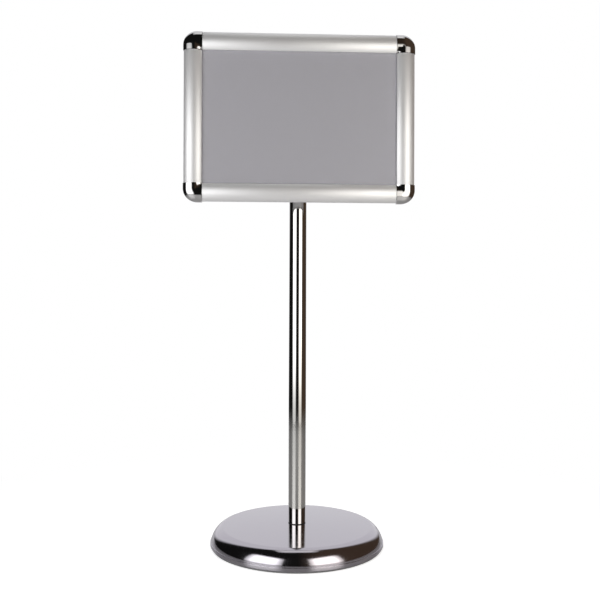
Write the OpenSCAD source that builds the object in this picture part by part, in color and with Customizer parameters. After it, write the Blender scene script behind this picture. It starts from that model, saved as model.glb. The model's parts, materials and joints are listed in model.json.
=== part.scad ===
// Pedestal sign stand: a snap-open poster frame on a polished pole and a weighted round base.
// +Z is up and the poster faces -Y. The origin is on the floor, on the pole's axis.

/* [Poster] */
// Width of the poster sheet
paper_w = 297; // [180:1:420]
// Height of the poster sheet
paper_h = 210; // [148:1:420]
// How much of each poster edge a rail covers
lip_cover = 12.5; // [12.5:0.5:15]
// Thickness of the poster sheet
paper_t = 0.3; // [0.1:0.1:0.4]
// Thickness of the clear cover sheet
sheet_t = 0.5; // [0.3:0.1:0.6]
// Thickness of the stiff back panel
panel_t = 2; // [1:0.1:3]

/* [Frame rails] */
// Width of a rail, seen from the front
rail_w = 25; // [23:0.5:32]
// Depth of the closed frame, from its back to the crest of a rail
rail_h = 12; // [11:0.5:15]
// Height of the snap rail's outer edge above the frame's back
outer_edge_h = 5.6; // [5.4:0.1:7]
// Height of the snap rail's inner edge above the cover sheet
inner_edge_rise = 2.3; // [1.8:0.1:3]
// Wall of the arched face of a snap rail
face_t = 1.3; // [1:0.1:1.6]
// Wall of a back rail
back_t = 1.2; // [1:0.1:1.5]
// Radius of the hinge bead that runs along a snap rail
bead_r = 1.2; // [1:0.05:1.3]
// Wall of the hinge cup that runs along a back rail
cup_t = 0.95; // [0.8:0.05:1.1]

/* [Frame corners] */
// How far a corner cap stands proud of the rails
cap_proud = 0.8; // [0.4:0.1:1.2]
// Radius of a corner cap's outline
cap_r = 19; // [16:0.5:21]
// Wall of a corner cap
cap_t = 1.5; // [1:0.1:2]
// Reach of a corner key's leg inside each rail
key_reach = 24; // [12:1:40]
// Thickness of a corner key's legs
key_t = 1.9; // [1.4:0.1:2.2]

/* [Springs] */
// Length of each spring clip along its rail
spring_l = 30; // [15:1:45]
// Thickness of the spring steel
spring_t = 0.5; // [0.3:0.1:0.7]
// Distance between the two springs in a long rail
spring_gap_w = 150; // [80:1:160]
// Distance between the two springs in a short rail
spring_gap_h = 90; // [60:1:90]

/* [Head] */
// Height of the frame's centre, and of the tilt axis, above the floor
centre_z = 608.5; // [400:0.5:1400]
// Distance from the tilt axis to the frame's back
head_reach = 42; // [38:1:70]
// Radius of the rounded tongue and ears at the tilt axis
knuckle_r = 11; // [8:0.5:11.5]
// Thickness of the tongue on the pole's head
tongue_t = 10; // [10:0.5:13]
// Thickness of each ear and of the web of the tilt bracket
bracket_t = 3.5; // [2.5:0.25:4.5]
// Distance from the tilt axis to the web of the tilt bracket
web_y = 24; // [21:0.5:25]
// Thickness of each friction washer
friction_t = 1.2; // [0.8:0.1:1.6]
// Diameter of the tilt bolt and of the turn bolt
bolt_d = 6; // [5:0.5:6.5]
// Diameter of the tilt knob
knob_d = 28; // [22:1:34]
// Length of the knob's grip
knob_l = 12; // [8:0.5:18]

/* [Mounting plate] */
// Side of the square mounting plate
plate_w = 90; // [80:1:120]
// Thickness of the mounting plate
plate_t = 2; // [1.5:0.1:2.5]
// Distance between rivet centres
rivet_pitch = 70; // [66:1:76]
// Diameter of a rivet's shank
rivet_d = 4; // [3:0.2:4.8]
// Depth of the rivets' countersinks in the back panel
csk_h = 1.2; // [0.6:0.1:1.4]

/* [Pole] */
// Outer diameter of the pole
pole_d = 25; // [23:0.5:38]
// Wall of the pole tube
pole_t = 1.2; // [0.8:0.1:2]
// Length of the plugs inside each end of the pole
plug_l = 30; // [20:1:60]

/* [Base] */
// Diameter of the base
base_d = 250; // [200:1:320]
// Height of the base where its shoulder begins
base_h = 28.6; // [24:0.2:45]
// Further rise of the base's top from its shoulder to the pole
crown_h = 2.8; // [1:0.1:6]
// Width of the rounded shoulder
shoulder_w = 16.5; // [10:0.5:30]
// Fullness of the shoulder: 2 is an ellipse, less is flatter
shoulder_n = 1.6; // [1.4:0.05:2.4]
// Height of the top of the upright rim band
rim_h = 8; // [7.4:0.1:10]
// Step from the shoulder out to the rim band
rim_step = 1.1; // [0.6:0.1:2]
// Wall of the base's polished cover
shell_t = 1.2; // [0.8:0.1:1.5]
// Height of the soft ring that the base rests on
ring_h = 2.5; // [2:0.1:3]
// Diameter of the cast weight
weight_d = 200; // [120:1:206]
// Height of the cast weight's disc
weight_h = 13; // [8:0.5:15]
// Thickness of the steel bottom plate
bottom_t = 1.5; // [1:0.1:1.8]
// Diameter of the bolt that holds the pole
pole_bolt_d = 10; // [8:0.5:12]

/* [Hidden] */
$fn = 96;

// Clearances
fit = 0.05;          // between pieces that seat on or run in each other
loose = 0.3;         // between pieces that must never rub
over = 1;            // how far a cutting shape runs past what it cuts

// Heights above the frame's back, for a point that is so far in from the frame's outer edge
bead_u = 2.6;                                 // hinge axis, in from the outer edge
bead_h = 3;                                   // hinge axis, above the back
cup_r = bead_r + fit + cup_t;                 // outside of the hinge cup
wall_u = lip_cover - back_t - 0.1;            // spring channel's inner wall, which stops the poster
panel_h = back_t + fit;                       // underside of the back panel
bead_drop = 0.2;                              // small bead under the ledge that nips the back panel
ledge_h = panel_h + panel_t + fit + bead_drop; // underside of the ledge that carries the poster
poster_h = ledge_h + back_t + fit;            // back of the poster
sheet_h = poster_h + paper_t + fit;           // back of the cover sheet
lip_h = sheet_h + sheet_t + fit;              // foot of a closed snap rail's lip
inner_edge_h = lip_h + inner_edge_rise;       // inner edge of the arched face
neck_angle = 35;                              // direction of the closed snap rail's hinge neck
neck_t = 1;

// The arched face is one arc through both edges, with its crest at rail_h
drop_out = rail_h - outer_edge_h;
drop_in = rail_h - inner_edge_h;
crest_u = abs(drop_in - drop_out) < 0.01
    ? rail_w / 2
    : (-drop_out * rail_w + sqrt(pow(drop_out * rail_w, 2)
        + (drop_in - drop_out) * (drop_out * rail_w * rail_w - drop_out * drop_in * (drop_out - drop_in))))
      / (drop_in - drop_out);
arch_r = (crest_u * crest_u + drop_out * drop_out) / (2 * drop_out);

// Frame outline
frame_w = paper_w - 2 * lip_cover + 2 * rail_w;
frame_h = paper_h - 2 * lip_cover + 2 * rail_w;
frame_y = -head_reach;                        // the frame's back
cap_in = rail_w + 0.5;                        // inner edge of a corner cap
rail_end = cap_in + loose;                    // rails stop short of the caps by this
channel_u = (bead_u + cup_r + wall_u) / 2;    // centre of the spring channel
boss_u = channel_u + 1;                       // centre of the cap's boss, both ways
key_w = wall_u - bead_u - cup_r - 2 * loose;  // width of a corner key's leg
boss_r = key_w / 2 + 0.4;
screw_r = 1.4;
screw_head_r = 2.6;
key_inset = cap_t + 0.2;                      // the key's plate stands this far inside the cap's outline

// Head
bolt_r = bolt_d / 2;
ear_x = tongue_t / 2 + friction_t + 2 * fit;  // inside of an ear
bracket_x = ear_x + bracket_t;                // outside of an ear
web_back = -web_y;
web_front = -(web_y + bracket_t);
dish_y = web_front - friction_t - 2 * fit;    // outer face of the mounting plate's dish
flange_h = panel_h - fit - plate_t;           // outer face of the plate's flange, above the frame's back
dish_depth = dish_y - (frame_y - flange_h);   // how far the dish stands off the flange
dish_top_r = 20;
dish_foot_r = 31;
neck_w = bolt_d + 2;                          // square neck of the turn bolt
nut_af = 10;                                  // across the flats of the small hexagons
nut_l = 5;
spring_washer_t = 1.2;                        // height of the coned washer under the turn bolt's nut
nut_y = web_back + spring_washer_t + nut_l;   // back of that nut
nut_r = nut_af / sqrt(3);
knob_washer_t = 1;
knob_x = bracket_x + knob_washer_t + 2 * fit; // foot of the knob, outside its washer
knob_hub_l = 5;
knob_wall = 2;                                // closed end of the knob
insert_r = 5;

// Base and pole
base_r = base_d / 2;
edge_r = base_r - rim_step;
flat_r = edge_r - shoulder_w;
top_z = base_h + crown_h;
crown_slope = 2 * crown_h / flat_r;           // the crown's slope where it meets the shoulder
roll_w = 7;                                   // how far the cover's lower edge rolls inwards
ring_w = 10;                                  // width of the soft ring
dish_run = 4;                                 // run of the sloping wall round the bottom plate's raised centre
hub_r = 22;                                   // hub of the cast weight
gasket_t = 0.8;
pole_z = top_z + gasket_t;
pole_in_r = pole_d / 2 - pole_t;
collar_t = 3;
collar_gap = 3;                               // between the collar and the ears of the tilt bracket
pole_top = centre_z - knuckle_r - collar_gap - collar_t;
plate_z = ring_h + shell_t + fit;             // underside of the bottom plate
dish_z = plate_z + 7;                         // underside of the plate's raised centre
dish_r = 26;
washer_t = 2;
pole_bolt_r = pole_bolt_d / 2;
bolt_hole_r = pole_bolt_r + 0.5;              // clearance hole for the pole's bolt

// Points along an arc about (x, y) from angle a to angle b
function arc(x, y, r, a, b, n) = [for (i = [0 : n]) let (t = a + (b - a) * i / n) [x + r * cos(t), y + r * sin(t)]];

// Points down the base's shoulder, from the crown to its foot; inset moves it inwards. It starts at the crown's slope.
function shoulder(inset, n) = [for (i = [0 : n])
    let (t = 90 - 90 * i / n, run = (shoulder_w - inset) * pow(cos(t), 2 / shoulder_n))
    [flat_r + run,
     rim_h + (base_h - rim_h - inset) * pow(sin(t), 2 / shoulder_n) - crown_slope * run * (1 - run / shoulder_w)]];

// Points over the base's crowned top, from a radius r outwards to the shoulder
function crown(inset, r, n) = [for (i = [0 : n - 1]) let (x = r + (flat_r - r) * i / n)
    [x, base_h + crown_h * (1 - pow(x / flat_r, 2)) - inset]];

module ring(r_out, r_in, h) {
    difference() {
        cylinder(r = r_out, h = h);
        translate([0, 0, -over]) cylinder(r = r_in, h = h + 2 * over);
    }
}

// A plate with rounded corners, made of true circles
module rounded_square(w, r) {
    square([w, w - 2 * r], center = true);
    square([w - 2 * r, w], center = true);
    for (x = [-1, 1], y = [-1, 1])
        translate([x * (w / 2 - r), y * (w / 2 - r)]) circle(r = r);
}

// Turns children so that their Z axis lies along X, towards +X
module along_x() {
    rotate([0, 90, 0]) children();
}

// Turns children so that their Z axis lies along Y, towards the front
module to_front() {
    rotate([90, 0, 0]) children();
}

/* ---- Base ---- */

// Soft ring under the rim, with a lip that locates it inside the rolled edge
module base_ring() {
    r_out = base_r - 2;
    r_lip = base_r - roll_w - 4 * fit;
    r_in = r_out - ring_w;
    soft = 0.4;
    color("dimgray") rotate_extrude()
        polygon([[r_in, soft], [r_in + soft, 0], [r_out - soft, 0], [r_out, soft], [r_out, ring_h - fit],
                 [r_lip, ring_h - fit], [r_lip, plate_z - 2 * fit], [r_in, plate_z - 2 * fit]]);
}

// Polished cover: crowned top, rounded shoulder, upright rim band and an edge rolled inwards
module base_shell() {
    band_round = 0.8;
    outside = concat(
        crown(0, bolt_hole_r, 12),
        shoulder(0, 24),
        arc(base_r - band_round, rim_h - band_round, band_round, 90, 0, 5),
        arc(base_r - band_round, ring_h + band_round, band_round, 0, -90, 5));
    inside = concat(
        crown(shell_t, bolt_hole_r, 12),
        shoulder(shell_t, 24),
        [[base_r - shell_t, rim_h - shell_t], [base_r - shell_t, ring_h + shell_t],
         [base_r - roll_w, ring_h + shell_t], [base_r - roll_w, ring_h]]);
    color("gainsboro") rotate_extrude()
        polygon(concat(outside, [for (i = [len(inside) - 1 : -1 : 0]) inside[i]]));
}

// Steel plate that closes the base, with a raised centre that keeps the bolt's head off the floor
module base_bottom() {
    r = base_r - shell_t - 4 * fit;
    dish_out = dish_r + 1;                    // the raised centre's upper face
    color("slategray") rotate_extrude()
        polygon([[bolt_hole_r, dish_z], [dish_r, dish_z], [dish_r + dish_run, plate_z], [r, plate_z],
                 [r, plate_z + bottom_t], [dish_out + dish_run, plate_z + bottom_t],
                 [dish_out, dish_z + bottom_t], [bolt_hole_r, dish_z + bottom_t]]);
}

// Cast weight: a disc with a hub that carries the pole's pull straight to the bottom plate
module base_weight() {
    foot = plate_z + bottom_t + fit;
    roof = dish_z + bottom_t + fit;
    top = foot + weight_h;
    hub_top = top_z - shell_t - 4 * fit;
    r = weight_d / 2;
    draft = 3;
    color("dimgray") rotate_extrude()
        polygon([[bolt_hole_r, roof], [dish_r + 2, roof], [dish_r + 2 + dish_run, foot], [r - 1, foot], [r, foot + 1],
                 [r, top - draft], [r - draft, top], [hub_r + draft, top], [hub_r, hub_top], [bolt_hole_r, hub_top]]);
}

module pole_bolt() {
    head_h = 5.9;
    head_r = 1.7 * pole_bolt_r / cos(30);     // across the corners
    head_z = dish_z - washer_t - fit - head_h;
    tip_z = pole_z + plug_l - 4;
    color("silver") {
        translate([0, 0, head_z]) cylinder(r = head_r, h = head_h, $fn = 6);
        translate([0, 0, head_z + head_h - over]) cylinder(r = pole_bolt_r, h = tip_z - head_z - head_h);
    }
}

module pole_bolt_washer() {
    color("silver") translate([0, 0, dish_z - washer_t]) ring(2.1 * pole_bolt_r, pole_bolt_r + 0.25, washer_t - fit);
}

/* ---- Pole ---- */

// Thin ring that keeps the pole's end from marking the polished cover
module pole_gasket() {
    color("black") translate([0, 0, top_z + fit]) ring(pole_d / 2, bolt_hole_r, gasket_t - 2 * fit);
}

// Threaded plug in the pole's lower end
module pole_foot() {
    color("darkgray") translate([0, 0, pole_z]) difference() {
        cylinder(r = pole_in_r - fit, h = plug_l);
        translate([0, 0, -over]) cylinder(r = pole_bolt_r + fit, h = plug_l + 2 * over);
        // lead-in for the bolt
        translate([0, 0, -over]) cylinder(r1 = bolt_hole_r + 2, r2 = bolt_hole_r, h = over + 1);
    }
}

module pole_tube() {
    color("gainsboro") translate([0, 0, pole_z]) ring(pole_d / 2, pole_in_r, pole_top - pole_z);
}

// Turned head: a spigot in the tube, a collar on its end and a flat tongue round the tilt axis
module pole_head() {
    chamfer = 0.8;
    color("silver") difference() {
        union() {
            translate([0, 0, pole_top - plug_l]) cylinder(r = pole_in_r - fit, h = plug_l + 1);
            translate([0, 0, pole_top]) cylinder(r = pole_d / 2, h = collar_t - chamfer);
            translate([0, 0, pole_top + collar_t - chamfer]) cylinder(r1 = pole_d / 2, r2 = pole_d / 2 - chamfer, h = chamfer);
            intersection() {
                translate([-tongue_t / 2, -knuckle_r, pole_top + 1]) cube([tongue_t, 2 * knuckle_r, centre_z - pole_top - 1]);
                translate([0, 0, pole_top]) cylinder(r = pole_d / 2 - chamfer, h = centre_z);
            }
            translate([-tongue_t / 2, 0, centre_z]) along_x() cylinder(r = knuckle_r, h = tongue_t);
        }
        translate([-tongue_t, 0, centre_z]) along_x() cylinder(r = bolt_r + fit, h = 2 * tongue_t);
    }
}

/* ---- Head ---- */

// U-shaped bracket: two ears round the tongue and a web that carries the turn bolt
module tilt_bracket() {
    color("silver") difference() {
        union() {
            translate([-bracket_x, 0, centre_z]) along_x() cylinder(r = knuckle_r, h = 2 * bracket_x);
            translate([-bracket_x, web_front, centre_z - knuckle_r]) cube([2 * bracket_x, -web_front, 2 * knuckle_r]);
        }
        translate([-ear_x, web_back, centre_z - 2 * knuckle_r]) cube([2 * ear_x, web_y + 2 * knuckle_r, 4 * knuckle_r]);
        translate([-2 * bracket_x, 0, centre_z]) along_x() cylinder(r = bolt_r + fit, h = 4 * bracket_x);
        translate([0, web_back + over, centre_z]) to_front() cylinder(r = bolt_r + fit, h = bracket_t + 2 * over);
        // relief that rounds the web's four corners
        for (z = [-1, 1]) translate([0, web_front, centre_z + z * knuckle_r]) rotate([45, 0, 0])
            cube([4 * bracket_x, 2, 2], center = true);
    }
}

module tilt_bolt() {
    head_h = 4;
    head_x = -bracket_x - fit;
    shank_end = knob_x + knob_hub_l + knob_l - knob_wall - 1;
    color("silver") {
        translate([head_x - head_h, 0, centre_z]) along_x() cylinder(r = nut_r, h = head_h, $fn = 6);
        translate([head_x - over, 0, centre_z]) along_x() cylinder(r = bolt_r, h = shank_end - head_x + over);
    }
}

// Slippery washers on both sides of the tongue
module tilt_washers() {
    color("whitesmoke") for (x = [-tongue_t / 2 - fit - friction_t, tongue_t / 2 + fit])
        translate([x, 0, centre_z]) along_x() ring(knuckle_r - 1.5, bolt_r + 0.15, friction_t);
}

module knob_washer() {
    color("silver") translate([bracket_x + fit, 0, centre_z]) along_x() ring(bolt_d, bolt_r + 0.2, knob_washer_t);
}

// Lobed hand knob: a short hub and a grip with finger scallops
module tilt_knob() {
    lobes = 6;
    scallop_r = knob_d / 5;
    edge = 1.5;                               // bevel round the grip's outer end
    color("black") translate([knob_x, 0, centre_z]) along_x() difference() {
        union() {
            cylinder(r1 = insert_r + 2, r2 = insert_r + 3, h = knob_hub_l);
            translate([0, 0, knob_hub_l]) cylinder(r = knob_d / 2, h = knob_l - edge);
            translate([0, 0, knob_hub_l + knob_l - edge]) cylinder(r1 = knob_d / 2, r2 = knob_d / 2 - edge, h = edge);
        }
        for (i = [0 : lobes - 1]) rotate(i * 360 / lobes)
            translate([knob_d / 2 + scallop_r * 0.45, 0, knob_hub_l - 0.5]) cylinder(r = scallop_r, h = knob_l + over + 0.5);
        translate([0, 0, -over]) cylinder(r = insert_r, h = over + knob_hub_l + knob_l - knob_wall);
    }
}

// Metal thread moulded into the knob
module knob_insert() {
    color("goldenrod") translate([knob_x, 0, centre_z]) along_x() ring(insert_r - fit, bolt_r + fit, knob_hub_l + knob_l - knob_wall - fit);
}

// Bolt that the frame turns on, with a square neck held by the mounting plate
module turn_bolt() {
    head_h = 3;
    head_y = dish_y - plate_t - fit;
    tip_y = nut_y + 1.4;
    color("silver") {
        translate([0, head_y, centre_z]) to_front() cylinder(r1 = bolt_d + 0.8, r2 = bolt_d - 1, h = head_h);
        translate([-neck_w / 2, head_y - over, centre_z - neck_w / 2]) cube([neck_w, plate_t + over, neck_w]);
        translate([0, tip_y, centre_z]) to_front() cylinder(r = bolt_r, h = tip_y - head_y);
    }
}

module turn_washer() {
    color("whitesmoke") translate([0, web_front - fit, centre_z]) to_front() ring(knuckle_r - 0.5, bolt_r + 0.15, friction_t);
}

// Conical spring washer under the nut
module turn_spring_washer() {
    color("silver") translate([0, web_back + spring_washer_t - fit, centre_z]) to_front() difference() {
        cylinder(r1 = bolt_r + 1.4, r2 = bolt_r + 2.6, h = spring_washer_t - 2 * fit);
        translate([0, 0, -over]) cylinder(r = bolt_r + 0.2, h = spring_washer_t + 2 * over);
    }
}

module turn_nut() {
    color("silver") translate([0, nut_y, centre_z]) to_front() difference() {
        cylinder(r = nut_r, h = nut_l, $fn = 6);
        translate([0, 0, -over]) cylinder(r = bolt_r + fit, h = nut_l + 2 * over);
    }
}

// Pressed plate: a flat flange on the back panel and a dish that stands off for the bolt's head
module mount_plate() {
    color("silver") translate([0, frame_y - flange_h, centre_z]) to_front() difference() {
        union() {
            linear_extrude(plate_t) rounded_square(plate_w, 10);
            translate([0, 0, -dish_depth]) cylinder(r1 = dish_top_r, r2 = dish_foot_r, h = dish_depth + 0.01);
        }
        translate([0, 0, plate_t - dish_depth]) cylinder(r1 = dish_top_r - plate_t, r2 = dish_foot_r - plate_t, h = dish_depth + 0.01);
        translate([0, 0, -dish_depth]) cube([neck_w + 2 * fit, neck_w + 2 * fit, 3 * plate_t], center = true);
        for (x = [-1, 1], z = [-1, 1])
            translate([x * rivet_pitch / 2, z * rivet_pitch / 2, -over]) cylinder(r = rivet_d / 2 + fit, h = plate_t + 2 * over);
    }
}

// Blind rivets: a domed head behind the plate and a flush head in the panel's front
module plate_rivets() {
    head_r = rivet_d / 2 + 2.2;
    color("silver") for (x = [-1, 1], z = [-1, 1])
        translate([x * rivet_pitch / 2, frame_y - flange_h + fit, centre_z + z * rivet_pitch / 2]) to_front() {
            translate([0, 0, -1.6]) cylinder(r1 = head_r - 1.4, r2 = head_r, h = 1.6);
            cylinder(r = rivet_d / 2, h = plate_t + panel_t);
            translate([0, 0, plate_t + panel_t + 2 * fit - csk_h]) cylinder(r1 = rivet_d / 2, r2 = rivet_d / 2 + csk_h, h = csk_h);
        }
}

/* ---- Frame ---- */

// Places children drawn round the frame's centre, with their back at y = 0
module on_frame() {
    translate([0, frame_y, centre_z]) children();
}

// Half the frame across a side: 0 top, 1 right, 2 bottom, 3 left
function half_span(side) = side % 2 == 0 ? frame_h / 2 : frame_w / 2;
// Length of the rails on a side
function rail_l(side) = (side % 2 == 0 ? frame_w : frame_h) - 2 * rail_end;

// Extrudes a section along one side. In the section, x runs in from the frame's outer edge and y forward from its back.
module along_side(side, length, at = 0) {
    on_frame() rotate([0, 90 * side, 0]) translate([at, 0, half_span(side)]) rotate(180, [1, 0, -1])
        linear_extrude(length, center = true) children();
}

// Places children at a corner: 0 top right, 1 bottom right, 2 bottom left, 3 top left. They are drawn
// with x and y running in from the outer edges and z running forward from the frame's back.
module at_corner(corner) {
    x = corner < 2 ? 1 : -1;
    z = corner == 0 || corner == 3 ? 1 : -1;
    on_frame() translate([x * frame_w / 2, 0, z * frame_h / 2]) rotate([0, 90 * corner, 0])
        rotate([90, 0, 0]) rotate([0, 0, 180]) children();
}

// A sheet that reaches to inset from the frame's outer edges, from height h forward
module sheet(inset, h, t) {
    on_frame() translate([-frame_w / 2 + inset, -h - t, -frame_h / 2 + inset])
        cube([frame_w - 2 * inset, t, frame_h - 2 * inset]);
}

module back_panel() {
    color("gray") difference() {
        sheet(wall_u + back_t + 0.6, panel_h, panel_t);
        for (x = [-1, 1], z = [-1, 1])
            translate([x * rivet_pitch / 2, frame_y, centre_z + z * rivet_pitch / 2]) to_front() {
                cylinder(r = rivet_d / 2 + fit, h = panel_h + panel_t + over);
                translate([0, 0, panel_h + panel_t - csk_h]) cylinder(r1 = rivet_d / 2 + fit, r2 = rivet_d / 2 + fit + csk_h, h = csk_h);
            }
    }
}

module poster() {
    color("darkgray") sheet(rail_w - lip_cover, poster_h, paper_t);
}

module cover_sheet() {
    color("lightgray", 0.4) sheet(rail_w - lip_cover, sheet_h, sheet_t);
}

// Fixed rail: hinge cup, spring channel, slot for the back panel and ledge for the poster
module back_rail(side) {
    color("silver") along_side(side, rail_l(side)) difference() {
        union() {
            translate([bead_u, 0]) square([rail_w - 1 - bead_u, back_t]);
            translate([wall_u + rail_w - 2 * lip_cover, 0]) square([back_t, poster_h + 1.5]);
            translate([wall_u + rail_w - 2 * lip_cover, ledge_h]) square([lip_cover + back_t - 0.9, back_t]);
            translate([rail_w - 1.6, ledge_h - bead_drop]) square([0.6, back_t + bead_drop]);
            translate([bead_u, bead_h]) circle(r = cup_r);
        }
        translate([bead_u, bead_h]) circle(r = bead_r + fit);
        // the cup's mouth, open towards the front
        translate([bead_u, bead_h]) polygon([[0, 0], [4 * cos(10), 4 * sin(10)], [4, 6], [-4, 6], [4 * cos(170), 4 * sin(170)]]);
    }
}

// Arched rail that swings up on a bead along its outer edge and presses the sheets with its inner lip
module snap_rail(side) {
    skirt_h = outer_edge_h - 0.6;
    swing_r = cup_r + loose;
    block_w = bead_u + cup_r + 0.6;
    color("silver") along_side(side, rail_l(side)) {
        difference() {
            intersection() {
                translate([crest_u, rail_h - arch_r]) circle(r = arch_r);
                union() {
                    difference() {
                        translate([0, skirt_h]) square([rail_w, rail_h]);
                        intersection() {
                            translate([crest_u, rail_h - arch_r]) circle(r = arch_r - face_t);
                            translate([back_t, 0]) square([rail_w - 2 * back_t, rail_h]);
                        }
                        translate([rail_w / 2, 0]) square([rail_w, lip_h]);
                    }
                    polygon([[0, skirt_h], [bead_u + 1.6, bead_h + 0.9], [block_w, bead_h + 1.1],
                             [block_w, outer_edge_h + 1.2], [0, outer_edge_h + 1.2]]);
                }
            }
            translate([bead_u, bead_h]) circle(r = swing_r);
        }
        translate([bead_u, bead_h]) circle(r = bead_r);
        translate([bead_u, bead_h]) rotate(neck_angle) translate([0, -neck_t / 2]) square([swing_r + 0.5, neck_t]);
    }
}

// Two bent spring clips in the channel, which hold the snap rail shut or open
module springs(side) {
    gap = side % 2 == 0 ? spring_gap_w : spring_gap_h;
    bend_r = 2.2;
    left = bead_u + cup_r + 1;
    color("lightsteelblue") for (s = [-1, 1]) along_side(side, spring_l, s * gap / 2)
        translate([left + bend_r, back_t + fit + bend_r]) {
            difference() {
                circle(r = bend_r);
                circle(r = bend_r - spring_t);
                translate([0, -bend_r - over]) square([bend_r + over, 2 * (bend_r + over)]);
            }
            leg = wall_u - left - bend_r - 0.3;
            translate([-0.01, -bend_r]) square([leg, spring_t]);
            translate([-0.01, bend_r - spring_t]) square([leg, spring_t]);
        }
}

// A corner's outline with its outer corner rounded, so far inside the cap's outer edge
module corner_outline(inset, reach) {
    r = cap_r - inset;
    edge = inset - cap_proud;
    intersection() {
        translate([edge, edge]) square(reach - edge);
        union() {
            translate([edge + r, edge + r]) circle(r = r);
            translate([edge + r, edge]) square(reach);
            translate([edge, edge + r]) square(reach);
        }
    }
}

// Flat corner plate with two legs that slide into the spring channels of both rails
module corner_key(corner) {
    leg_u = channel_u - key_w / 2;
    color("darkgray") at_corner(corner) difference() {
        union() {
            linear_extrude(back_t) corner_outline(key_inset, cap_in - fit);
            intersection() {
                linear_extrude(back_t + key_t) corner_outline(key_inset, rail_end + key_reach);
                for (turn = [0, 1]) mirror([turn, -turn, 0])
                    translate([leg_u, leg_u, back_t / 2]) cube([rail_end + key_reach, key_w, back_t / 2 + key_t]);
            }
        }
        // the legs clear the floor of each rail's channel
        for (turn = [0, 1]) mirror([turn, -turn, 0]) translate([rail_end - loose, leg_u - over, 0])
            cube([key_reach + 2 * over, key_w + 2 * over, back_t + fit]);
        translate([boss_u, boss_u, -over]) cylinder(r = screw_r + 0.15, h = 2 * over + back_t + key_t);
        translate([boss_u, boss_u, -0.01]) cylinder(r1 = screw_head_r + 0.1, r2 = screw_r + 0.1, h = 1.3);
    }
}

// The cap's outer form, so far inside its surface: a dome over the corner and a short arch along each rail
module cap_form(inset, reach) {
    edge = inset - cap_proud;
    turn_u = cap_r - cap_proud;
    module section(to) {
        intersection() {
            translate([crest_u, rail_h - arch_r]) circle(r = arch_r + cap_proud - inset);
            translate([edge, 0]) square([to - edge, rail_h + cap_proud]);
        }
    }
    translate([turn_u, turn_u, 0]) rotate([0, 0, 180]) rotate_extrude(angle = 90) intersection() {
        mirror([1, 0]) translate([-turn_u, 0]) section(cap_in);
        square([cap_r, 2 * rail_h]);
    }
    for (turn = [0, 1]) mirror([turn, -turn, 0])
        translate([turn_u, 0, 0]) rotate([90, 0, 90]) linear_extrude(reach - turn_u) section(cap_in - inset);
}

// Rounded corner cap: a hollow shell over the rails' ends, with a boss for its screw
module corner_cap(corner) {
    color("gainsboro") at_corner(corner) difference() {
        union() {
            difference() {
                cap_form(0, cap_in);
                translate([0, 0, -0.01]) cap_form(cap_t, cap_in + over);
            }
            intersection() {
                cap_form(0.5, cap_in);
                translate([boss_u, boss_u, back_t + key_t + fit]) cylinder(r = boss_r, h = rail_h);
            }
        }
        translate([boss_u, boss_u, 0]) cylinder(r = screw_r - 0.2, h = 9);
        // room for the poster and its cover sheet
        translate([lip_cover - 0.3, lip_cover - 0.3, -over]) cube([rail_w, rail_w, lip_h + over]);
    }
}

module corner_screws() {
    color("silver") for (corner = [0 : 3]) at_corner(corner) translate([boss_u, boss_u, 0]) {
        translate([0, 0, 0.1]) cylinder(r1 = screw_head_r, r2 = screw_r, h = 1.2);
        translate([0, 0, 0.2]) cylinder(r = screw_r - 0.25, h = 8);
    }
}

base_ring();
base_shell();
base_bottom();
base_weight();
pole_bolt();
pole_bolt_washer();
pole_gasket();
pole_foot();
pole_tube();
pole_head();
tilt_bracket();
tilt_bolt();
tilt_washers();
knob_washer();
tilt_knob();
knob_insert();
turn_bolt();
turn_washer();
turn_spring_washer();
turn_nut();
mount_plate();
plate_rivets();
back_panel();
poster();
cover_sheet();
back_rail(0);  // back_rail_top
back_rail(1);  // back_rail_right
back_rail(2);  // back_rail_bottom
back_rail(3);  // back_rail_left
snap_rail(0);  // snap_rail_top
snap_rail(1);  // snap_rail_right
snap_rail(2);  // snap_rail_bottom
snap_rail(3);  // snap_rail_left
springs(0);  // springs_top
springs(1);  // springs_right
springs(2);  // springs_bottom
springs(3);  // springs_left
corner_key(0);  // corner_key_top_right
corner_key(1);  // corner_key_bottom_right
corner_key(2);  // corner_key_bottom_left
corner_key(3);  // corner_key_top_left
corner_cap(0);  // corner_cap_top_right
corner_cap(1);  // corner_cap_bottom_right
corner_cap(2);  // corner_cap_bottom_left
corner_cap(3);  // corner_cap_top_left
corner_screws();
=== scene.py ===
# Sign stand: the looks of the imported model. Metres, +Z up, the poster faces -Y.
import bpy
import bmesh
import json
import math
from mathutils import Matrix, Vector

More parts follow.
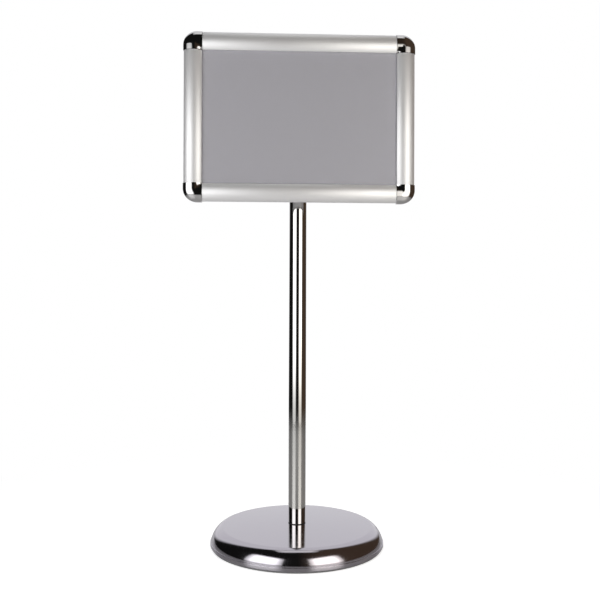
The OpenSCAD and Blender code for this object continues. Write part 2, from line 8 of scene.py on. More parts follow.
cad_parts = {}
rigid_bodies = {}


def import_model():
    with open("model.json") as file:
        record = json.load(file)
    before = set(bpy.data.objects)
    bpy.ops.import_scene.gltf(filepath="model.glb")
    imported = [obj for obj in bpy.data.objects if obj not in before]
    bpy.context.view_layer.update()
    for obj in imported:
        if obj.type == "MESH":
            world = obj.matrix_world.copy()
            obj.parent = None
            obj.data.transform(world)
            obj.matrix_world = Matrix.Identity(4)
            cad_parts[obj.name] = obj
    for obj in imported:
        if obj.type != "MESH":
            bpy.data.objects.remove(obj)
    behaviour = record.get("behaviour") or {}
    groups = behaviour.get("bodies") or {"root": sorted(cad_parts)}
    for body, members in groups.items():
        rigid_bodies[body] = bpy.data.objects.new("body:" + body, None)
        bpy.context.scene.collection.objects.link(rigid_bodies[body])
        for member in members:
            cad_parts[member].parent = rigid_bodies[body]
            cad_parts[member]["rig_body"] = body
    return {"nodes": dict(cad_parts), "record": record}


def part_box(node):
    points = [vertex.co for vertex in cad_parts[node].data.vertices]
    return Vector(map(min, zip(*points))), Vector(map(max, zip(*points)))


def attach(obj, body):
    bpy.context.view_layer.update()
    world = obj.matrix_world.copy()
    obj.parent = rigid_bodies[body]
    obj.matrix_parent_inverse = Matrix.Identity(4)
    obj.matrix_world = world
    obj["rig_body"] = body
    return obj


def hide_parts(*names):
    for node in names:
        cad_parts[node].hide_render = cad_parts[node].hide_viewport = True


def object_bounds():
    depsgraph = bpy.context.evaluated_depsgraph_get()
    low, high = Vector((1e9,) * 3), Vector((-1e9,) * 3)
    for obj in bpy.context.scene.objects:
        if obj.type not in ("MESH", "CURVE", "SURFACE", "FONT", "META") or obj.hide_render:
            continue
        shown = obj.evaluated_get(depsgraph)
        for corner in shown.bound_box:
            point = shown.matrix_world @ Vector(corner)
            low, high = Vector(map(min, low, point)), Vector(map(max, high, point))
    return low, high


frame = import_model()
nodes = frame["nodes"]
cadLow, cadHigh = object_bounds()
mm = 0.001
sides = ("top", "right", "bottom", "left")
corners = {"top_right": (1, 1), "bottom_right": (1, -1), "bottom_left": (-1, -1), "top_left": (-1, 1)}
print("frame loaded,", len(nodes), "nodes")


def linearColour(hexText):  # sRGB hex to linear red, green, blue and alpha
    channels = [int(hexText[i:i + 2], 16) / 255 for i in (1, 3, 5)]
    return [c / 12.92 if c <= 0.04045 else ((c + 0.055) / 1.055) ** 2.4 for c in channels] + [1]


def addNode(tree, kind, settings=None, links=None):  # one node, its settings, and the sockets that feed it
    node = tree.nodes.new(kind)
    for name, value in (settings or {}).items():
        if isinstance(name, int) or name in node.inputs:
            node.inputs[name].default_value = value
        else:
            setattr(node, name, value)
    for name, socket in (links or {}).items():
        tree.links.new(socket, node.inputs[name])
    return node


# Materials: a shader, with a grain and a wider haze that vary its roughness, and a fine relief

mixA, mixB, mixResult = 6, 7, 2  # a Mix node's sockets when it mixes colours
weaveShape = {"grainDetail": 3.0, "grainRoughness": 0.6, "grainShare": 0.5, "hazeDetail": 2.0,
              "hazeMm": (60, 60, 60), "blendRange": (0.45, 1.05)}  # what grain and haze come to when added


def placePattern(tree, cellMm):  # the piece's own coordinates, scaled to cells of this many mm
    coords = addNode(tree, "ShaderNodeTexCoord")
    return addNode(tree, "ShaderNodeMapping", {"Scale": [1 / (c * mm) for c in cellMm]},
                   {"Vector": coords.outputs["Object"]}).outputs["Vector"]


def weave(tree, shader, look):  # grain and haze, led to the shader's colour, roughness and relief
    grain = addNode(tree, "ShaderNodeTexNoise", {
        "Scale": 1.0, "Detail": weaveShape["grainDetail"], "Roughness": weaveShape["grainRoughness"]},
        {"Vector": placePattern(tree, look["grainMm"])})
    haze = addNode(tree, "ShaderNodeTexNoise", {"Scale": 1.0, "Detail": weaveShape["hazeDetail"]},
                   {"Vector": placePattern(tree, look.get("hazeMm", weaveShape["hazeMm"]))})
    blend = addNode(tree, "ShaderNodeMath", {"operation": "MULTIPLY_ADD", 1: weaveShape["grainShare"]},
                    {0: grain.outputs[0], 2: haze.outputs[0]})
    spread = addNode(tree, "ShaderNodeMapRange", {
        "From Min": weaveShape["blendRange"][0], "From Max": weaveShape["blendRange"][1],
        "To Min": look["roughness"][0], "To Max": look["roughness"][1]}, {"Value": blend.outputs[0]})
    tree.links.new(spread.outputs[0], shader.inputs["Roughness"])
    bump = addNode(tree, "ShaderNodeBump", {"Strength": look["relief"], "Distance": look["reliefMm"] * mm},
                   {"Height": grain.outputs[0]})
    tree.links.new(bump.outputs[0], shader.inputs["Normal"])
    tint = addNode(tree, "ShaderNodeMix", {"data_type": "RGBA"}, {"Factor": grain.outputs[0]})
    tint.inputs[mixA].default_value = linearColour(look["colours"][0])
    tint.inputs[mixB].default_value = linearColour(look["colours"][1])
    tree.links.new(tint.outputs[mixResult], shader.inputs["Base Color"])


def makeFinish(name, shaderSettings, look):
    material = bpy.data.materials.new(name)
    material.use_nodes = True
    tree = material.node_tree
    shader = tree.nodes["Principled BSDF"]
    for socket, value in shaderSettings.items():
        shader.inputs[socket].default_value = value
    weave(tree, shader, look)
    return material


bareMetal = {"Metallic": 1.0}
finishes = {
    # stainless steel, spun and buffed: a mirror with faint wheel marks and a little finger haze
    "chrome_cover": makeFinish("buffedStainlessSteel", bareMetal, {
        "colours": ("#bbb7be", "#c1bdc4"), "roughness": (0.08, 0.14), "grainMm": (1.5, 1.5, 1.5),
        "hazeMm": (45, 45, 45), "relief": 0.03, "reliefMm": 0.01}),
    # bright chrome plate on drawn tube: a sharper mirror, polished along the length
    "chrome_pole": makeFinish("chromePlatedTube", bareMetal, {
        "colours": ("#d2d1ce", "#d8d7d4"), "roughness": (0.03, 0.08), "grainMm": (0.8, 0.8, 60),
        "hazeMm": (30, 30, 90), "relief": 0.03, "reliefMm": 0.01}),
    # bright chrome plate on moulded corners: a hard mirror with slow unevenness
    "chrome_cap": makeFinish("chromePlatedMoulding", bareMetal, {
        "colours": ("#d0cfcf", "#d6d5d5"), "roughness": (0.04, 0.08), "grainMm": (2, 2, 2),
        "hazeMm": (12, 12, 12), "relief": 0.03, "reliefMm": 0.01}),
    # grey iron, sand cast and painted: matt black with the sand's grain under the paint
    "cast_iron": makeFinish("paintedCastIron", {"IOR": 1.5}, {
        "colours": ("#2c2c2e", "#38383a"), "roughness": (0.5, 0.7), "grainMm": (1.2, 1.2, 1.2),
        "relief": 0.5, "reliefMm": 0.2}),
    # turned or pressed steel, zinc plated: a greyer, more broken sheen than chrome
    "zinc_steel": makeFinish("brightZincPlate", bareMetal, {
        "colours": ("#b4b6ba", "#c8cacd"), "roughness": (0.25, 0.42), "grainMm": (1.5, 1.5, 1.5),
        "relief": 0.15, "reliefMm": 0.02}),
    # steel ground on a belt: satin, with scratches along X
    "satin_steel": makeFinish("brushedSteel", bareMetal, {
        "colours": ("#9c9ea2", "#b0b2b6"), "roughness": (0.32, 0.5), "grainMm": (40, 0.7, 0.7),
        "relief": 0.25, "reliefMm": 0.02}),
    # hardened and blued strip: a dark blue-grey sheen
    "spring_steel": makeFinish("bluedSpringSteel", bareMetal, {
        "colours": ("#5a616e", "#6d7482"), "roughness": (0.3, 0.45), "grainMm": (2, 2, 2),
        "relief": 0.1, "reliefMm": 0.02}),
    # soft black PVC: dull, faintly grained
    "soft_ring": makeFinish("softPvc", {"IOR": 1.53}, {
        "colours": ("#17171a", "#202023"), "roughness": (0.55, 0.75), "grainMm": (0.8, 0.8, 0.8),
        "relief": 0.3, "reliefMm": 0.05}),
    # soft grey PVC, extruded: smoother than the black, milky at the edge
    "grey_ring": makeFinish("translucentGreyPvc", {"IOR": 1.53}, {
        "colours": ("#8b8b8e", "#97979a"), "roughness": (0.35, 0.5), "grainMm": (0.8, 0.8, 0.8),
        "relief": 0.2, "reliefMm": 0.05}),
    # undyed nylon, moulded: milky white with a low gloss
    "nylon": makeFinish("naturalNylon", {"IOR": 1.53}, {
        "colours": ("#dcdbd3", "#e8e7e0"), "roughness": (0.4, 0.55), "grainMm": (1, 1, 1),
        "relief": 0.1, "reliefMm": 0.02}),
    # black nylon from a spark-eroded mould: matt with a fine even pebble
    "knob_plastic": makeFinish("sparkTexturedNylon", {"IOR": 1.53}, {
        "colours": ("#141416", "#1d1d20"), "roughness": (0.42, 0.58), "grainMm": (0.5, 0.5, 0.5),
        "relief": 0.35, "reliefMm": 0.05}),
    # brass, turned: fine rings round the axis along X
    "brass": makeFinish("turnedBrass", bareMetal, {
        "colours": ("#c49a4a", "#d4ad5f"), "roughness": (0.2, 0.35), "grainMm": (0.4, 8, 8),
        "relief": 0.15, "reliefMm": 0.02}),
    # black polystyrene sheet, rolled: dull with a leathery grain
    "panel_plastic": makeFinish("texturedPolystyreneSheet", {"IOR": 1.59}, {
        "colours": ("#2b2b2e", "#353538"), "roughness": (0.45, 0.62), "grainMm": (0.9, 0.9, 0.9),
        "relief": 0.4, "reliefMm": 0.05}),
    # plain coated card: flat and barely mottled; its fibres are finer than this and drawn coarse to show
    "paper": makeFinish("coatedCard", {"IOR": 1.5, "Specular IOR Level": 0.3}, {
        "colours": ("#afaeb6", "#b1b0b8"), "roughness": (0.6, 0.75), "grainMm": (0.5, 0.5, 0.5),
        "hazeMm": (150, 150, 150), "relief": 0.01, "reliefMm": 0.01}),
    # anti-glare PET film: clear, with a frosted skin that spreads reflections into a soft veil
    "clear_sheet": makeFinish("antiGlarePetFilm", {"IOR": 1.57, "Alpha": 0.22}, {
        "colours": ("#dcdce2", "#e2e2e8"), "roughness": (0.32, 0.42), "grainMm": (0.4, 0.4, 0.4),
        "relief": 0.01, "reliefMm": 0.01}),
}
# extruded aluminium, etched and clear anodised: a soft silver sheen with die lines along the length,
# which are really finer than 0.6 mm and drawn this coarse to show
anodised = {"Metallic": 0.55}
anodisedLook = {"colours": ("#f1f1f2", "#f7f7f8"), "roughness": (0.40, 0.48),
                "relief": 0.12, "reliefMm": 0.02}
dieLines = {"x": (400, 0.6, 0.6), "z": (0.6, 0.6, 400)}
railFinish = {
    "x": makeFinish("anodisedAluminiumCrosswise", anodised, {**anodisedLook, "grainMm": dieLines["x"]}),
    "z": makeFinish("anodisedAluminiumUpright", anodised, {**anodisedLook, "grainMm": dieLines["z"]}),
}
print("materials made:", len(bpy.data.materials))


def finishOf(node):  # a CAD node's finish, which on a rail follows its length, and its slot
    slotName = next(s["material_slot"] for s in frame["record"]["subparts"] if s["node"] == node)
    if slotName == "anodised":
        return railFinish["x" if "top" in node or "bottom" in node else "z"], slotName
    return finishes[slotName], slotName


for node, piece in nodes.items():
    piece.data.materials.clear()
    piece.data.materials.append(finishes["grey_ring"] if node == "base_ring" else finishOf(node)[0])
print("finishes given to the packed nodes")


# Modelling helpers

mergeMm = 0.002  # points nearer than this are one
sharpDegrees = 50  # corners turned more than this are broken
creaseDegrees = 40  # edges turned more than this are shaded sharp


def drawSection(start, moves):
    # a wire in the XY plane, in mm; a move is a point to go straight to, or (centre, degrees, steps) for an arc
    section = bmesh.new()
    tip = section.verts.new(Vector((*start, 0)) * mm)
    for move in moves:
        if len(move) == 2:
            tip = bmesh.ops.extrude_vert_indiv(section, verts=[tip])["verts"][0]
            tip.co = Vector((*move, 0)) * mm
        else:
            centre, degrees, steps = move
            swung = bmesh.ops.spin(section, geom=[tip], cent=Vector((*centre, 0)) * mm, axis=(0, 0, 1),
                                   angle=math.radians(degrees), steps=steps)
            tip = next(g for g in swung["geom_last"] if isinstance(g, bmesh.types.BMVert))
    bmesh.ops.remove_doubles(section, verts=section.verts, dist=mergeMm * mm)
    return section


def spinSection(section, steps):  # turns a section (x out from the axis, y up) all the way round Z
    upright = Matrix.Rotation(math.pi / 2, 3, "X")
    bmesh.ops.rotate(section, verts=section.verts, cent=(0, 0, 0), matrix=upright)
    bmesh.ops.spin(section, geom=section.verts[:] + section.edges[:], cent=(0, 0, 0), axis=(0, 0, 1),
                   angle=math.radians(360), steps=steps, use_merge=True)


def pushSection(section, length):  # fills a section and extrudes it along Z
    face = bmesh.ops.contextual_create(section, geom=section.edges[:])["faces"][0]
    pushed = bmesh.ops.extrude_face_region(section, geom=[face])
    bmesh.ops.translate(section, verts=[g for g in pushed["geom"] if isinstance(g, bmesh.types.BMVert)],
                        vec=(0, 0, length))


def breakEdges(shape, width):  # takes the sharpness off the corners, so that they catch the light
    sharpest = math.radians(sharpDegrees)
    sharp = [e for e in shape.edges if len(e.link_faces) == 2 and e.calc_face_angle() > sharpest]
    bmesh.ops.bevel(shape, geom=sharp, offset=width * mm, offset_type="OFFSET", affect="EDGES", segments=2,
                    profile=0.5, material=-1, clamp_overlap=True)


def finishPiece(name, shape, node):
    # cleans a shape, makes it an object that stands for a CAD node, and gives it that node's finish and body
    bmesh.ops.remove_doubles(shape, verts=shape.verts, dist=mergeMm * mm)
    bmesh.ops.recalc_face_normals(shape, faces=shape.faces)
    for face in shape.faces:
        face.smooth = True
    for edge in shape.edges:
        edge.smooth = len(edge.link_faces) == 2 and edge.calc_face_angle() < math.radians(creaseDegrees)
    mesh = bpy.data.meshes.new(name)
    shape.to_mesh(mesh)
    shape.free()
    piece = bpy.data.objects.new(name, mesh)
    bpy.context.scene.collection.objects.link(piece)
    material, slotName = finishOf(node)
    mesh.materials.append(material)
    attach(piece, nodes[node]["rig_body"])
    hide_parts(node)


# Base cover: one spun shell with a crowned top, a rounded shoulder and an upright rim band

coverShape = {"crown": 2.8, "shoulderWidth": 16.5, "fullness": 1.6, "rimHeight": 8, "rimStep": 1.1,
              "wall": 1.2, "bandRound": 0.8, "roll": 7, "holeRadius": 5.5, "turns": 256,
              "outsideSteps": (30, 48), "insideSteps": (8, 12), "bandSteps": 8}  # steps of crown and shoulder


def makeBaseCover(shape):
    low, high = (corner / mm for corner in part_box("base_shell"))
    radius = high.x
    flat = radius - shape["rimStep"] - shape["shoulderWidth"]
    shoulderTop = high.z - shape["crown"] * (1 - (shape["holeRadius"] / flat) ** 2)
    slope = 2 * shape["crown"] / flat

    def topAt(x, inset):
        return shoulderTop + shape["crown"] * (1 - (x / flat) ** 2) - inset

    def shoulderAt(turn, inset):  # turn goes from 0 at the crown to 90 degrees at the foot
        run = (shape["shoulderWidth"] - inset) * math.sin(turn) ** (2 / shape["fullness"])
        drop = (shoulderTop - inset - shape["rimHeight"]) * math.cos(turn) ** (2 / shape["fullness"])
        return flat + run, shape["rimHeight"] + drop - slope * run * (1 - run / shape["shoulderWidth"])

    def halfOutline(inset, crownSteps, shoulderSteps):
        hole = shape["holeRadius"]
        crown = [hole + (flat - hole) * i / crownSteps for i in range(crownSteps)]
        turns = [math.pi / 2 * i / shoulderSteps for i in range(shoulderSteps + 1)]
        return [(x, topAt(x, inset)) for x in crown] + [shoulderAt(turn, inset) for turn in turns]

    bandRound, wall = shape["bandRound"], shape["wall"]
    outside, inside = halfOutline(0, *shape["outsideSteps"]), halfOutline(wall, *shape["insideSteps"])
    band = [(radius - bandRound, shape["rimHeight"]),
            ((radius - bandRound, shape["rimHeight"] - bandRound), -90, shape["bandSteps"]),
            (radius, low.z + bandRound),
            ((radius - bandRound, low.z + bandRound), -90, shape["bandSteps"])]
    roll = [(radius - shape["roll"], low.z), (radius - shape["roll"], low.z + wall),
            (radius - wall, low.z + wall), (radius - wall, shape["rimHeight"] - wall)]
    cover = drawSection(outside[0], outside[1:] + band + roll + inside[::-1] + [outside[0]])
    spinSection(cover, shape["turns"])
    finishPiece("baseCover", cover, "base_shell")


makeBaseCover(coverShape)
print("base cover made")


# Pole: a plain round tube with its cut ends broken

poleShape = {"wall": 1.2, "endBreak": 0.3, "turns": 128}


def makePole(shape):
    low, high = (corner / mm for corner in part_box("pole_tube"))
    outer, inner, cut = high.x, high.x - shape["wall"], shape["endBreak"]
    pole = drawSection((inner, low.z), [(outer - cut, low.z), (outer, low.z + cut), (outer, high.z - cut),
                                        (outer - cut, high.z), (inner, high.z), (inner, low.z)])
    spinSection(pole, shape["turns"])
    finishPiece("poleTube", pole, "pole_tube")


makePole(poleShape)
print("pole made")


# Rails and corner caps share one arch: x runs in from the frame's outer edge and y forward from its back

archShape = {"width": 25, "crest": 13.685, "radius": 17.83, "top": 12, "lipFoot": 5.65}


def archHeight(x, grow=0):  # height of the arch at x, with its surface grown outwards
    return archShape["top"] - archShape["radius"] + math.sqrt((archShape["radius"] + grow) ** 2
                                                              - (x - archShape["crest"]) ** 2)


def archArc(fromX, toX, grow, steps):  # the arch's arc between two places, as a move for drawSection
    crest, radius = archShape["crest"], archShape["radius"]
    start, end = (math.degrees(math.acos((x - crest) / (radius + grow))) for x in (fromX, toX))
    return (crest, archShape["top"] - radius), end - start, steps


# Snap rails: an arched face, a lip that presses the sheets, and a hinge bead on a thin neck

snapShape = {"face": 1.3, "lip": 1.2, "skirt": 5.0, "bead": (2.6, 3.0), "beadRadius": 1.2,
             "swing": 2.5, "skirtAngle": 134.6,  # the arc that clears the hinge cup, and where it ends
             "neckAngle": 35, "neckThick": 1.0, "block": (5.4, 4.1, 6.8), "edgeBreak": 0.12,
             "faceSteps": 40, "undersideSteps": 32, "beadSteps": 32, "swingSteps": 12}


def makeSnapRail(side, shape):
    low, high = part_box("snap_rail_" + side)
    width, foot, lip = archShape["width"], archShape["lipFoot"], shape["lip"]
    bead, swing, half = shape["bead"], shape["swing"], shape["neckThick"] / 2
    blockX, blockFoot, blockTop = shape["block"]
    reach = math.sqrt((archShape["radius"] - shape["face"]) ** 2
                      - (blockTop - archShape["top"] + archShape["radius"]) ** 2)
    blockStart = archShape["crest"] - reach

    def onCircle(radius, degrees):
        angle = math.radians(degrees)
        return bead[0] + radius * math.cos(angle), bead[1] + radius * math.sin(angle)

    def neckHalfAngle(radius):
        return math.degrees(math.asin(half / radius))

    neckOut, neckIn = neckHalfAngle(swing), neckHalfAngle(shape["beadRadius"])
    section = drawSection((0, shape["skirt"]), [
        (0, archHeight(0)), archArc(0, width, 0, shape["faceSteps"]), (width, foot), (width - lip, foot),
        (width - lip, archHeight(width - lip, -shape["face"])),
        archArc(width - lip, blockStart, -shape["face"], shape["undersideSteps"]),
        (blockX, blockTop), (blockX, blockFoot), onCircle(swing, shape["neckAngle"] - neckOut),
        onCircle(shape["beadRadius"], shape["neckAngle"] - neckIn),
        (bead, -360 + 2 * neckIn, shape["beadSteps"]),
        onCircle(swing, shape["neckAngle"] + neckOut),
        (bead, shape["skirtAngle"] - shape["neckAngle"] - neckOut, shape["swingSteps"]),
        (0, shape["skirt"])])
    along = "x" if side in ("top", "bottom") else "z"
    length = (high - low).x if along == "x" else (high - low).z
    pushSection(section, length)
    breakEdges(section, shape["edgeBreak"])
    # columns: inwards from the outer edge, forwards, along the rail; then where the outer edge's end is
    inwards = {"top": (0, 0, -1), "bottom": (0, 0, 1), "left": (1, 0, 0), "right": (-1, 0, 0)}[side]
    lengthwise = (1, 0, 0) if along == "x" else (0, 0, 1)
    outerEnd = Vector((high.x if side == "right" else low.x, 0, high.z if side == "top" else low.z))
    outerEnd.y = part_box("back_rail_" + side)[1].y
    place = Matrix((inwards, (0, -1, 0), lengthwise)).transposed().to_4x4()
    place.translation = outerEnd
    bmesh.ops.transform(section, matrix=place, verts=section.verts)
    finishPiece("snapRail" + side.capitalize(), section, "snap_rail_" + side)


for side in sides:
    makeSnapRail(side, snapShape)
print("snap rails made")


# Corner caps: the arch swept round the corner and mitred at the window, hollow behind

capShape = {"proud": 0.8, "outlineRadius": 19, "wall": 1.5, "depth": 25.5, "turnSteps": 16,
            "archSteps": 24, "lipSteps": 12, "seamMm": 0.004}
planeMm = 0.0001  # points this near to a plane lie on it


def makeCornerCap(corner, shape):
    proud, wall, depth, steps = shape["proud"], shape["wall"], shape["depth"], shape["archSteps"]
    turn = shape["outlineRadius"] - proud  # centre of the round corner, in from both edges

    def wire(reachX):  # the wall's section, from the outer skirt in as far as reachX
        outer = [(-proud, archHeight(-proud, proud)), archArc(-proud, turn, proud, steps)]
        inner = [archArc(turn, wall - proud, proud - wall, steps), (wall - proud, 0), (-proud, 0)]
        if reachX == turn:
            middle = [(turn, archHeight(turn, proud - wall))]
        else:
            middle = [archArc(turn, depth, proud, shape["lipSteps"]), (depth, archShape["lipFoot"]),
                      (depth - wall, archShape["lipFoot"]),
                      (depth - wall, archHeight(depth - wall, proud - wall)),
                      archArc(depth - wall, turn, proud - wall, shape["lipSteps"])]
        return drawSection((-proud, 0), outer + middle + inner)

    # one half: an eighth of a turn about the corner's centre, and a straight arch as far as the mitre
    half = wire(turn)
    closing = [e for e in half.edges if all(abs(v.co.x - turn * mm) < planeMm * mm for v in e.verts)]
    bmesh.ops.delete(half, geom=closing, context="EDGES")
    swing = Matrix(((0, 0, 1), (1, 0, 0), (0, 1, 0)))  # section x to local y, section y to local z
    bmesh.ops.transform(half, matrix=swing.to_4x4(), verts=half.verts)
    bmesh.ops.translate(half, verts=half.verts, vec=(turn * mm, 0, 0))
    bmesh.ops.spin(half, geom=half.verts[:] + half.edges[:], cent=(turn * mm, turn * mm, 0), axis=(0, 0, -1),
                   angle=math.radians(45), steps=shape["turnSteps"])
    straight = wire(depth)
    bmesh.ops.transform(straight, matrix=swing.to_4x4(), verts=straight.verts)
    bmesh.ops.translate(straight, verts=straight.verts, vec=(turn * mm, 0, 0))
    pushed = bmesh.ops.extrude_edge_only(straight, edges=straight.edges[:])
    ends = [g for g in pushed["geom"] if isinstance(g, bmesh.types.BMVert)]
    bmesh.ops.translate(straight, verts=ends, vec=((depth - turn) * mm, 0, 0))
    bmesh.ops.bisect_plane(straight, geom=straight.verts[:] + straight.edges[:] + straight.faces[:],
                           dist=planeMm * mm, plane_co=(0, 0, 0), plane_no=(-1, 1, 0), clear_outer=True)
    spare = bpy.data.meshes.new("capStraight")
    straight.to_mesh(spare)
    straight.free()
    half.from_mesh(spare)
    bpy.data.meshes.remove(spare)
    # the other half is its mirror image across the diagonal
    swap = Matrix(((0, 1, 0), (1, 0, 0), (0, 0, 1))).to_4x4()
    copied = bmesh.ops.duplicate(half, geom=half.verts[:] + half.edges[:] + half.faces[:])
    copies = [g for g in copied["geom"] if isinstance(g, bmesh.types.BMVert)]
    bmesh.ops.transform(half, matrix=swap, verts=copies)
    bmesh.ops.remove_doubles(half, verts=half.verts, dist=shape["seamMm"] * mm)
    bmesh.ops.delete(half, geom=[e for e in half.edges if not e.link_faces], context="EDGES")
    bmesh.ops.holes_fill(half, edges=[e for e in half.edges if e.is_boundary], sides=0)
    # out to the frame's corner
    rightwards, upwards = corners[corner]
    low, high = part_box("corner_cap_" + corner)
    place = Matrix(((-rightwards, 0, 0), (0, 0, -1), (0, -upwards, 0))).to_4x4()
    place.translation = Vector(((high.x if rightwards > 0 else low.x) - rightwards * proud * mm, high.y,
                                (high.z if upwards > 0 else low.z) - upwards * proud * mm))
    bmesh.ops.transform(half, matrix=place, verts=half.verts)
    name = "cornerCap" + "".join(word.capitalize() for word in corner.split("_"))
    finishPiece(name, half, "corner_cap_" + corner)


for corner in corners:
    makeCornerCap(corner, capShape)
print("corner caps made")


# Studio: a pale floor that fades into a white background, two tall soft lights in front and a weak one above

floorLook = {"radius": 12.0, "segments": 96, "below": 0.0005, "colour": "#f0f0f0", "lift": 0.8,
             "fade": (0.16, 0.7), "table": "#cfcfcf", "gloss": 0.2, "tableIor": 1.9, "tableEdge": (0.9, 1.5)}


def makeFloor(look):
    # the camera sees pale paper that brightens outwards; reflections see a glossy table top that ends sooner
    disc = bmesh.new()
    bmesh.ops.create_circle(disc, cap_ends=True, segments=look["segments"], radius=look["radius"])
    mesh = bpy.data.meshes.new("paleFloor")
    disc.to_mesh(mesh)
    disc.free()
    floor = bpy.data.objects.new("paleFloor", mesh)
    bpy.context.scene.collection.objects.link(floor)
    floor.location.z = cadLow.z - look["below"]
    material = bpy.data.materials.new("studioPaper")
    material.use_nodes = True
    tree = material.node_tree
    tree.nodes.clear()
    coords = addNode(tree, "ShaderNodeTexCoord")
    distance = addNode(tree, "ShaderNodeVectorMath", {"operation": "LENGTH"}, {0: coords.outputs["Object"]})
    fade, edge = (addNode(tree, "ShaderNodeMapRange", {
        "interpolation_type": "SMOOTHSTEP", "From Min": start, "From Max": end},
        {"Value": distance.outputs["Value"]}) for start, end in (look["fade"], look["tableEdge"]))
    colour = linearColour(look["colour"])
    paper = addNode(tree, "ShaderNodeBsdfDiffuse", {"Color": colour})
    lift = addNode(tree, "ShaderNodeEmission", {"Color": colour, "Strength": look["lift"]})
    near = addNode(tree, "ShaderNodeAddShader", links={0: paper.outputs[0], 1: lift.outputs[0]})
    white = addNode(tree, "ShaderNodeEmission", {"Color": linearColour("#ffffff"), "Strength": 1.0})
    seen = addNode(tree, "ShaderNodeMixShader",
                   links={0: fade.outputs[0], 1: near.outputs[0], 2: white.outputs[0]})
    table = addNode(tree, "ShaderNodeBsdfPrincipled", {
        "Base Color": linearColour(look["table"]), "Roughness": look["gloss"], "IOR": look["tableIor"]})
    clear = addNode(tree, "ShaderNodeBsdfTransparent")
    mirrored = addNode(tree, "ShaderNodeMixShader",
                       links={0: edge.outputs[0], 1: table.outputs[0], 2: clear.outputs[0]})
    rays = addNode(tree, "ShaderNodeLightPath")
    both = addNode(tree, "ShaderNodeMixShader",
                   links={0: rays.outputs["Is Camera Ray"], 1: mirrored.outputs[0], 2: seen.outputs[0]})
    addNode(tree, "ShaderNodeOutputMaterial", links={"Surface": both.outputs[0]})
    mesh.materials.append(material)


worldLook = {"backdropLean": 0.8, "backdropFrom": (0.82, 0.94), "backdrop": "#ededf0", "leftSide": "#161615",
             "rightSide": "#4a3c31", "rightSideFrom": (0.0, 0.4)}


def makeWorld(look):  # white to the camera; to reflections a pale backdrop behind, and dark sides
    world = bpy.data.worlds.new("studio")
    bpy.context.scene.world = world
    world.use_nodes = True
    tree = world.node_tree
    tree.nodes.clear()
    coords = addNode(tree, "ShaderNodeTexCoord")
    axes = addNode(tree, "ShaderNodeSeparateXYZ", links={0: coords.outputs["Generated"]})
    lean = addNode(tree, "ShaderNodeMath", {"operation": "MULTIPLY_ADD", 1: look["backdropLean"]},
                   {0: axes.outputs["Z"], 2: axes.outputs["Y"]})
    behind = addNode(tree, "ShaderNodeMapRange", {
        "interpolation_type": "SMOOTHSTEP", "From Min": look["backdropFrom"][0],
        "From Max": look["backdropFrom"][1]}, {"Value": lean.outputs[0]})
    rightSide = addNode(tree, "ShaderNodeMapRange", {
        "From Min": look["rightSideFrom"][0], "From Max": look["rightSideFrom"][1]},
        {"Value": axes.outputs["X"]})
    rays = addNode(tree, "ShaderNodeLightPath")
    factors = (rightSide.outputs[0], behind.outputs[0], rays.outputs["Is Camera Ray"])
    room, around, shown = (addNode(tree, "ShaderNodeMix", {"data_type": "RGBA"}, {"Factor": factor})
                           for factor in factors)
    room.inputs[mixA].default_value = linearColour(look["leftSide"])
    room.inputs[mixB].default_value = linearColour(look["rightSide"])
    tree.links.new(room.outputs[mixResult], around.inputs[mixA])
    around.inputs[mixB].default_value = linearColour(look["backdrop"])
    tree.links.new(around.outputs[mixResult], shown.inputs[mixA])
    shown.inputs[mixB].default_value = linearColour("#ffffff")
    background = addNode(tree, "ShaderNodeBackground", {"Strength": 1.0}, {"Color": shown.outputs[mixResult]})
    addNode(tree, "ShaderNodeOutputWorld", links={"Surface": background.outputs[0]})


lightLooks = {
    "softLightLeft": {"azimuth": -45, "distance": 1.1, "height": 0.53, "aim": (0, 0, 0.53),
                      "size": (1.02, 1.06), "radiance": 2.0, "colour": "#ffffff",
                      "softEdge": 0.25, "edgeLight": 0.3},
    "softLightRight": {"azimuth": 35, "distance": 1.1, "height": 0.53, "aim": (0, 0, 0.53),
                       "size": (0.89, 1.06), "radiance": 2.1, "colour": "#fffcf6",
                       "softEdge": 0.25, "edgeLight": 0.3},
    "softLightAbove": {"azimuth": 0, "distance": 0.2, "height": 2.2, "aim": (0, -0.2, 0),
                       "size": (1.3, 0.6), "radiance": 0.7, "colour": "#ffffff",
                       "softEdge": 0.2, "edgeLight": 0.5},
}


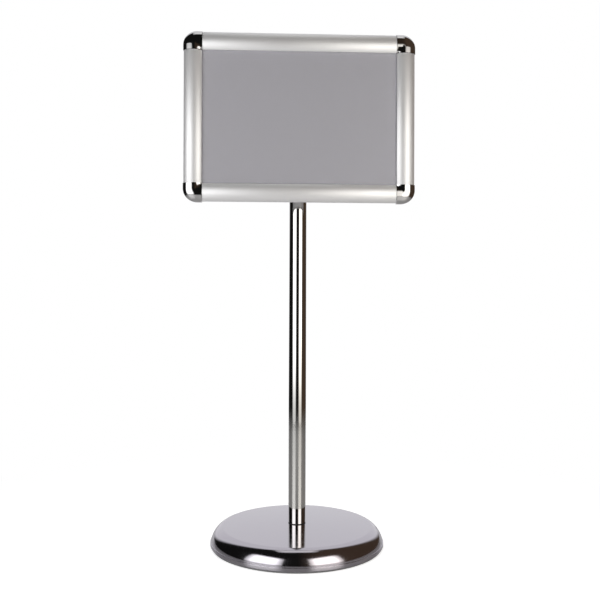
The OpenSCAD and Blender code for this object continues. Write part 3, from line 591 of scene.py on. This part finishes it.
def addSoftLight(name, look):  # a rectangle of light, dim at its edges; azimuth 0 is in front, 90 to the right
    turn = math.radians(look["azimuth"])
    data = bpy.data.lights.new(name, "AREA")
    data.shape = "RECTANGLE"
    data.size, data.size_y = look["size"]
    data.energy = look["radiance"] * 4 * data.size * data.size_y  # watts are shared over four times the area
    data.color = linearColour(look["colour"])[:3]
    data.use_nodes = True
    tree = data.node_tree
    spot = addNode(tree, "ShaderNodeNewGeometry")
    place = addNode(tree, "ShaderNodeSeparateXYZ", links={0: spot.outputs["Parametric"]})
    fades = []
    for axis in ("X", "Y"):
        off = addNode(tree, "ShaderNodeMath", {"operation": "SUBTRACT", 1: 0.5}, {0: place.outputs[axis]})
        away = addNode(tree, "ShaderNodeMath", {"operation": "ABSOLUTE"}, {0: off.outputs[0]})
        fades.append(addNode(tree, "ShaderNodeMapRange", {
            "interpolation_type": "SMOOTHSTEP", "From Min": 0.5 - look["softEdge"], "From Max": 0.5,
            "To Min": 1.0, "To Max": look["edgeLight"]}, {"Value": away.outputs[0]}))
    dimmed = addNode(tree, "ShaderNodeMath", {"operation": "MULTIPLY"},
                     {0: fades[0].outputs[0], 1: fades[1].outputs[0]})
    tree.links.new(dimmed.outputs[0], tree.nodes["Emission"].inputs["Strength"])
    light = bpy.data.objects.new(name, data)
    bpy.context.scene.collection.objects.link(light)
    light.location = (look["distance"] * math.sin(turn), -look["distance"] * math.cos(turn), look["height"])
    aim = Vector(look["aim"]) - light.location
    light.rotation_euler = aim.to_track_quat("-Z", "Y").to_euler()
    light.visible_camera = False


makeFloor(floorLook)
makeWorld(worldLook)
for name, look in lightLooks.items():
    addSoftLight(name, look)
print("studio made")


# Camera: a little over a metre in front of the pole, at half the stand's height, level but for a slight roll

cameraLook = {"distance": 1.129, "height": 0.355, "azimuth": -2.5, "aimRight": 0.0034, "roll": 0.2,
              "lens": 46.56}


def makeCamera(look):
    data = bpy.data.cameras.new("camera")
    data.lens = look["lens"]
    camera = bpy.data.objects.new("camera", data)
    bpy.context.scene.collection.objects.link(camera)
    turn = math.radians(look["azimuth"])
    camera.location = (look["distance"] * math.sin(turn), -look["distance"] * math.cos(turn), look["height"])
    aim = Vector((look["aimRight"], 0, look["height"])) - camera.location
    camera.rotation_mode = "QUATERNION"
    roll = Matrix.Rotation(math.radians(look["roll"]), 3, "Z").to_quaternion()
    camera.rotation_quaternion = aim.to_track_quat("-Z", "Y") @ roll
    bpy.context.scene.camera = camera


makeCamera(cameraLook)
bpy.context.scene.view_settings.view_transform = "Standard"
print("camera placed")
